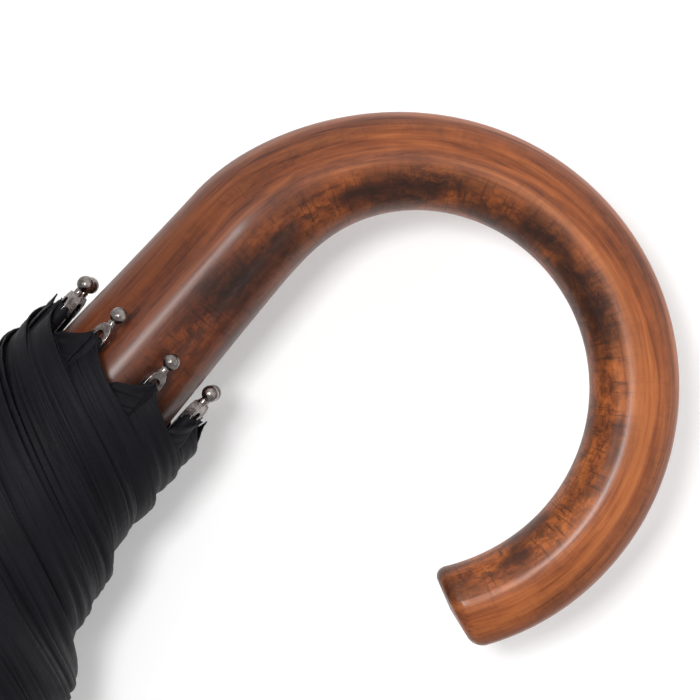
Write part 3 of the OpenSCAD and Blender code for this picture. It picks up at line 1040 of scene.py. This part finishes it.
def make_camera():
    """The photo's view: square on to the crook's plane, from +Y."""
    data = bpy.data.cameras.new("camera")
    data.sensor_width = SENSOR
    data.lens = SENSOR * VIEW_DISTANCE / VIEW_WIDTH
    data.clip_start = 0.01
    o = bpy.data.objects.new("camera", data)
    bpy.context.collection.objects.link(o)
    back = VIEW_RIGHT.cross(VIEW_UP)
    m = Matrix((VIEW_RIGHT, VIEW_UP, back)).transposed().to_4x4()
    m.translation = VIEW_CENTRE + back * VIEW_DISTANCE
    o.matrix_world = m
    bpy.context.scene.camera = o


def area_light(name, at, size, power):
    """A soft rectangle of light, aimed at the middle of the view."""
    data = bpy.data.lights.new(name, "AREA")
    data.shape = "RECTANGLE"
    data.size, data.size_y = size
    data.energy = power
    data.spread = LIGHT_SPREAD
    o = bpy.data.objects.new(name, data)
    bpy.context.collection.objects.link(o)
    o.location = at
    o.rotation_euler = (VIEW_CENTRE - at).to_track_quat("-Z", "Y").to_euler()


def view_place(right, up, near):
    """A point as the camera sees it: right, up and towards the camera from the view's centre."""
    return VIEW_CENTRE + VIEW_RIGHT * right + VIEW_UP * up + Vector((0, near, 0))


def make_stage():
    """White paper below and close behind, an even sky, and three soft lights. What the camera sees
    past the paper is white."""
    world = bpy.data.worlds.new("studio")
    bpy.context.scene.world = world
    world.use_nodes = True
    background = world.node_tree.nodes["Background"]
    background.inputs["Color"].default_value = (1, 1, 1, 1)
    seen = world.node_tree.nodes.new("ShaderNodeLightPath").outputs["Is Camera Ray"]
    strength = world.node_tree.nodes.new("ShaderNodeMapRange")
    strength.inputs["To Min"].default_value = SKY_LIGHT
    strength.inputs["To Max"].default_value = 1.0
    world.node_tree.links.new(seen, strength.inputs["Value"])
    world.node_tree.links.new(strength.outputs["Result"], background.inputs["Strength"])
    bpy.context.scene.view_settings.view_transform = "Standard"
    square = [(-1, -1), (1, -1), (1, 1), (-1, 1)]
    floor_z = CAD_BOX[0][2] - FLOOR_DROP
    corners = [(x * FLOOR_HALF, y * FLOOR_HALF, floor_z) for x, y in square]
    floor = piece("floor", corners, [(0, 1, 2, 3)], paper_floor())
    card_near = -(FURL_MAX_R + CARD_GAP)
    corners = [view_place(x * CARD_HALF, y * CARD_HALF, card_near) for x, y in square]
    card = piece("card", corners, [(0, 1, 2, 3)], card_paper())
    area_light("key", view_place(-0.15, 0.09, 1.0), (0.16, 0.16), 0.55)
    area_light("left_strip", view_place(-0.52, 0.10, 0.74), (0.05, 0.5), 0.10)
    area_light("right_strip", view_place(0.80, -0.36, 0.45), (0.05, 0.5), 0.07)


def card_paper():
    """White paper that fades out towards its edges and can't be seen from behind."""
    n = Nodes("card_paper").set(Specular_IOR_Level=0.1, Roughness=0.9)
    n.set(Base_Color=(0.95, 0.95, 0.95, 1), Emission_Color=(1, 1, 1, 1), Emission_Strength=0.06)
    place = n.add("ShaderNodeVectorMath", {0: n.place(), 1: tuple(VIEW_CENTRE)},
                  operation="SUBTRACT").outputs[0]
    right, up = (n.add("ShaderNodeVectorMath", {0: place, 1: tuple(axis)},
                       operation="DOT_PRODUCT").outputs["Value"] for axis in (VIEW_RIGHT, VIEW_UP))
    far = n.math("MAXIMUM", n.math("ABSOLUTE", right), n.math("ABSOLUTE", up))
    edge = n.ramp(n.math("DIVIDE", far, CARD_HALF), [(0.84, 0.0), (0.99, 1.0)])
    facing = n.add("ShaderNodeNewGeometry").outputs["Backfacing"]
    hidden = n.math("MAXIMUM", edge, facing)
    return n.see_through(hidden)


make_camera()
make_stage()
make_handle()
make_tips()
for rib in RIBS:
    make_rib(rib)
    make_cover(rib, "upper")
    make_cover(rib, "lower")
    make_furl(rib)
    make_pocket(rib)
make_collar()
make_strap()
paint_nodes()
